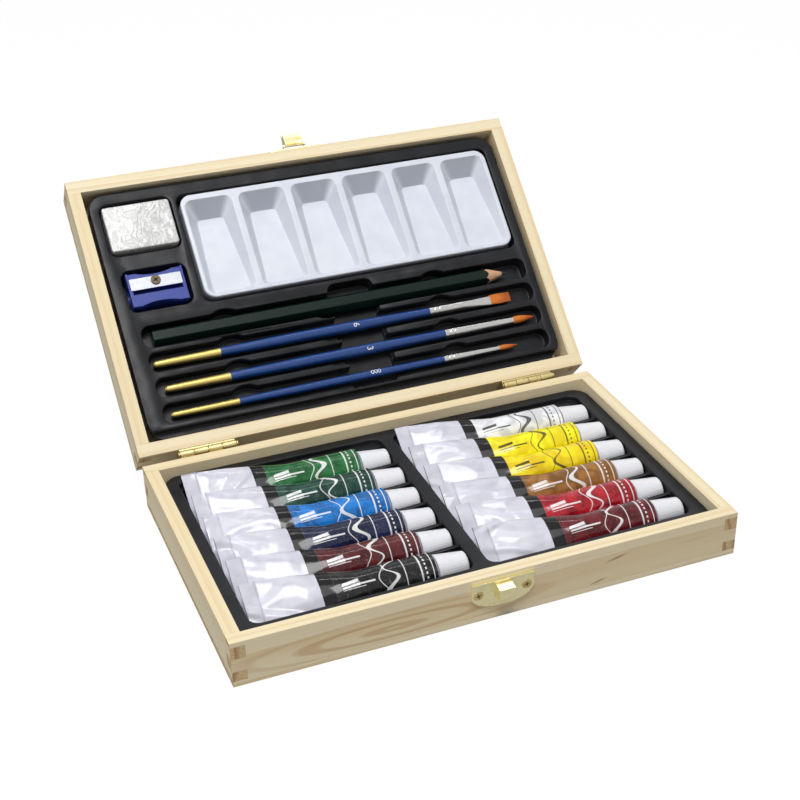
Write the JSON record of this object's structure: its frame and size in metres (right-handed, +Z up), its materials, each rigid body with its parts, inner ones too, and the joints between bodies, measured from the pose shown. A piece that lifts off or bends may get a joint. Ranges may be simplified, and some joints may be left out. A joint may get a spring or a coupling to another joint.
{
  "type": "paint set",
  "caption": "Acrylic paint set in a hinged wooden case: paint tubes in a formed tray, and a lid with palette, eraser, sharpener, pencil and brushes.",
  "frame": {"origin": "Centre of the underside of the case's base, on the table.", "axes": "X along the case's length, to the right seen from the clasp; Y from the clasp towards the hinges; Z up."},
  "size_m": [0.215, 0.2542, 0.117],
  "materials": {
    "pine": "pale bare pine",
    "brass": "bright stamped brass",
    "steel": "zinc plated steel",
    "black_plastic": "black formed sheet",
    "white_plastic": "white moulded plastic",
    "eraser_rubber": "white rubber in clear film",
    "blue_plastic": "blue moulded plastic",
    "pencil_paint": "dark green paint on wood",
    "graphite": "grey lead",
    "blue_paint": "blue paint on wood with gilt ends",
    "ferrule": "bright metal sleeve",
    "bristle": "brown hair",
    "tube_shell": "white laminate with a printed label"
  },
  "bodies": {
    "base": {"base_front_board": "pine", "base_back_board": "pine", "base_left_board": "pine", "base_right_board": "pine", "base_bottom_panel": "pine", "base_tray": "black_plastic", "base_hinge_leaves": "brass", "base_screws": "brass", "keeper_plate": "brass"},
    "lid": {"lid_front_board": "pine", "lid_back_board": "pine", "lid_left_board": "pine", "lid_right_board": "pine", "lid_top_panel": "pine", "lid_tray": "black_plastic", "lid_hinge_leaves": "brass", "pivot_pins": "brass", "lid_screws": "brass", "hasp_plate": "brass"},
    "hasp_lever": {"hasp_lever": "brass"},
    "palette": {"palette": "white_plastic"},
    "eraser": {"eraser": "eraser_rubber"},
    "sharpener": {"sharpener_body": "blue_plastic", "sharpener_blade": "steel", "sharpener_screw": "steel"},
    "pencil": {"pencil_body": "pencil_paint", "pencil_lead": "graphite"},
    "flat_brush": {"flat_brush_handle": "blue_paint", "flat_brush_ferrule": "ferrule", "flat_brush_bristles": "bristle"},
    "round_brush": {"round_brush_handle": "blue_paint", "round_brush_ferrule": "ferrule", "round_brush_bristles": "bristle"},
    "fine_brush": {"fine_brush_handle": "blue_paint", "fine_brush_ferrule": "ferrule", "fine_brush_bristles": "bristle"},
    "left_tube_1": {"left_tube_1": "tube_shell"},
    "left_cap_1": {"left_cap_1": "white_plastic"},
    "left_tube_2": {"left_tube_2": "tube_shell"},
    "left_cap_2": {"left_cap_2": "white_plastic"},
    "left_tube_3": {"left_tube_3": "tube_shell"},
    "left_cap_3": {"left_cap_3": "white_plastic"},
    "left_tube_4": {"left_tube_4": "tube_shell"},
    "left_cap_4": {"left_cap_4": "white_plastic"},
    "left_tube_5": {"left_tube_5": "tube_shell"},
    "left_cap_5": {"left_cap_5": "white_plastic"},
    "left_tube_6": {"left_tube_6": "tube_shell"},
    "left_cap_6": {"left_cap_6": "white_plastic"},
    "right_tube_1": {"right_tube_1": "tube_shell"},
    "right_cap_1": {"right_cap_1": "white_plastic"},
    "right_tube_2": {"right_tube_2": "tube_shell"},
    "right_cap_2": {"right_cap_2": "white_plastic"},
    "right_tube_3": {"right_tube_3": "tube_shell"},
    "right_cap_3": {"right_cap_3": "white_plastic"},
    "right_tube_4": {"right_tube_4": "tube_shell"},
    "right_cap_4": {"right_cap_4": "white_plastic"},
    "right_tube_5": {"right_tube_5": "tube_shell"},
    "right_cap_5": {"right_cap_5": "white_plastic"},
    "right_tube_6": {"right_tube_6": "tube_shell"},
    "right_cap_6": {"right_cap_6": "white_plastic"}
  },
  "joints": [
    {"name": "lid_hinge", "type": "hinge", "parent": "base", "child": "lid", "pos_m": [0, 0.0693, 0.02035], "axis": [-1, 0, 0], "range_deg": [-137.6, 42.4]},
    {"name": "hasp_swing", "type": "hinge", "parent": "lid", "child": "hasp_lever", "pos_m": [0.0015, 0.17161, 0.11289], "axis": [-1, 0, 0], "range_deg": [-70, 50]},
    {"name": "palette_lift", "type": "slide", "parent": "lid", "child": "palette", "axis": [0, -0.6743, 0.7385], "range_m": [0, 0.03]},
    {"name": "eraser_lift", "type": "slide", "parent": "lid", "child": "eraser", "axis": [0, -0.6743, 0.7385], "range_m": [0, 0.03]},
    {"name": "sharpener_lift", "type": "slide", "parent": "lid", "child": "sharpener", "axis": [0, -0.6743, 0.7385], "range_m": [0, 0.03]},
    {"name": "pencil_lift", "type": "slide", "parent": "lid", "child": "pencil", "axis": [0, -0.6743, 0.7385], "range_m": [0, 0.03]},
    {"name": "flat_brush_lift", "type": "slide", "parent": "lid", "child": "flat_brush", "axis": [0, -0.6743, 0.7385], "range_m": [0, 0.03]},
    {"name": "round_brush_lift", "type": "slide", "parent": "lid", "child": "round_brush", "axis": [0, -0.6743, 0.7385], "range_m": [0, 0.03]},
    {"name": "fine_brush_lift", "type": "slide", "parent": "lid", "child": "fine_brush", "axis": [0, -0.6743, 0.7385], "range_m": [0, 0.03]},
    {"name": "left_tube_1_lift", "type": "slide", "parent": "base", "child": "left_tube_1", "axis": [0, 0.2924, 0.9563], "range_m": [0, 0.03]},
    {"name": "left_cap_1_turn", "type": "hinge", "parent": "left_tube_1", "child": "left_cap_1", "pos_m": [-0.0172, 0.0429, 0.0115], "axis": [1, 0, 0], "range_deg": [0, 720]},
    {"name": "left_tube_2_lift", "type": "slide", "parent": "base", "child": "left_tube_2", "axis": [0, 0.2924, 0.9563], "range_m": [0, 0.03]},
    {"name": "left_cap_2_turn", "type": "hinge", "parent": "left_tube_2", "child": "left_cap_2", "pos_m": [-0.0172, 0.02565, 0.0115], "axis": [1, 0, 0], "range_deg": [0, 720]},
    {"name": "left_tube_3_lift", "type": "slide", "parent": "base", "child": "left_tube_3", "axis": [0, 0.2924, 0.9563], "range_m": [0, 0.03]},
    {"name": "left_cap_3_turn", "type": "hinge", "parent": "left_tube_3", "child": "left_cap_3", "pos_m": [-0.0172, 0.0084, 0.0115], "axis": [1, 0, 0], "range_deg": [0, 720]},
    {"name": "left_tube_4_lift", "type": "slide", "parent": "base", "child": "left_tube_4", "axis": [0, 0.2924, 0.9563], "range_m": [0, 0.03]},
    {"name": "left_cap_4_turn", "type": "hinge", "parent": "left_tube_4", "child": "left_cap_4", "pos_m": [-0.0172, -0.00885, 0.0115], "axis": [1, 0, 0], "range_deg": [0, 720]},
    {"name": "left_tube_5_lift", "type": "slide", "parent": "base", "child": "left_tube_5", "axis": [0, 0.2924, 0.9563], "range_m": [0, 0.03]},
    {"name": "left_cap_5_turn", "type": "hinge", "parent": "left_tube_5", "child": "left_cap_5", "pos_m": [-0.0172, -0.0261, 0.0115], "axis": [1, 0, 0], "range_deg": [0, 720]},
    {"name": "left_tube_6_lift", "type": "slide", "parent": "base", "child": "left_tube_6", "axis": [0, 0.2924, 0.9563], "range_m": [0, 0.03]},
    {"name": "left_cap_6_turn", "type": "hinge", "parent": "left_tube_6", "child": "left_cap_6", "pos_m": [-0.0172, -0.04335, 0.0115], "axis": [1, 0, 0], "range_deg": [0, 720]},
    {"name": "right_tube_1_lift", "type": "slide", "parent": "base", "child": "right_tube_1", "axis": [0, 0.2924, 0.9563], "range_m": [0, 0.03]},
    {"name": "right_cap_1_turn", "type": "hinge", "parent": "right_tube_1", "child": "right_cap_1", "pos_m": [0.0808, 0.0429, 0.0115], "axis": [1, 0, 0], "range_deg": [0, 720]},
    {"name": "right_tube_2_lift", "type": "slide", "parent": "base", "child": "right_tube_2", "axis": [0, 0.2924, 0.9563], "range_m": [0, 0.03]},
    {"name": "right_cap_2_turn", "type": "hinge", "parent": "right_tube_2", "child": "right_cap_2", "pos_m": [0.0808, 0.02565, 0.0115], "axis": [1, 0, 0], "range_deg": [0, 720]},
    {"name": "right_tube_3_lift", "type": "slide", "parent": "base", "child": "right_tube_3", "axis": [0, 0.2924, 0.9563], "range_m": [0, 0.03]},
    {"name": "right_cap_3_turn", "type": "hinge", "parent": "right_tube_3", "child": "right_cap_3", "pos_m": [0.0808, 0.0084, 0.0115], "axis": [1, 0, 0], "range_deg": [0, 720]},
    {"name": "right_tube_4_lift", "type": "slide", "parent": "base", "child": "right_tube_4", "axis": [0, 0.2924, 0.9563], "range_m": [0, 0.03]},
    {"name": "right_cap_4_turn", "type": "hinge", "parent": "right_tube_4", "child": "right_cap_4", "pos_m": [0.0808, -0.00885, 0.0115], "axis": [1, 0, 0], "range_deg": [0, 720]},
    {"name": "right_tube_5_lift", "type": "slide", "parent": "base", "child": "right_tube_5", "axis": [0, 0.2924, 0.9563], "range_m": [0, 0.03]},
    {"name": "right_cap_5_turn", "type": "hinge", "parent": "right_tube_5", "child": "right_cap_5", "pos_m": [0.0808, -0.0261, 0.0115], "axis": [1, 0, 0], "range_deg": [0, 720]},
    {"name": "right_tube_6_lift", "type": "slide", "parent": "base", "child": "right_tube_6", "axis": [0, 0.2924, 0.9563], "range_m": [0, 0.03]},
    {"name": "right_cap_6_turn", "type": "hinge", "parent": "right_tube_6", "child": "right_cap_6", "pos_m": [0.0808, -0.04335, 0.0115], "axis": [1, 0, 0], "range_deg": [0, 720]}
  ]
}
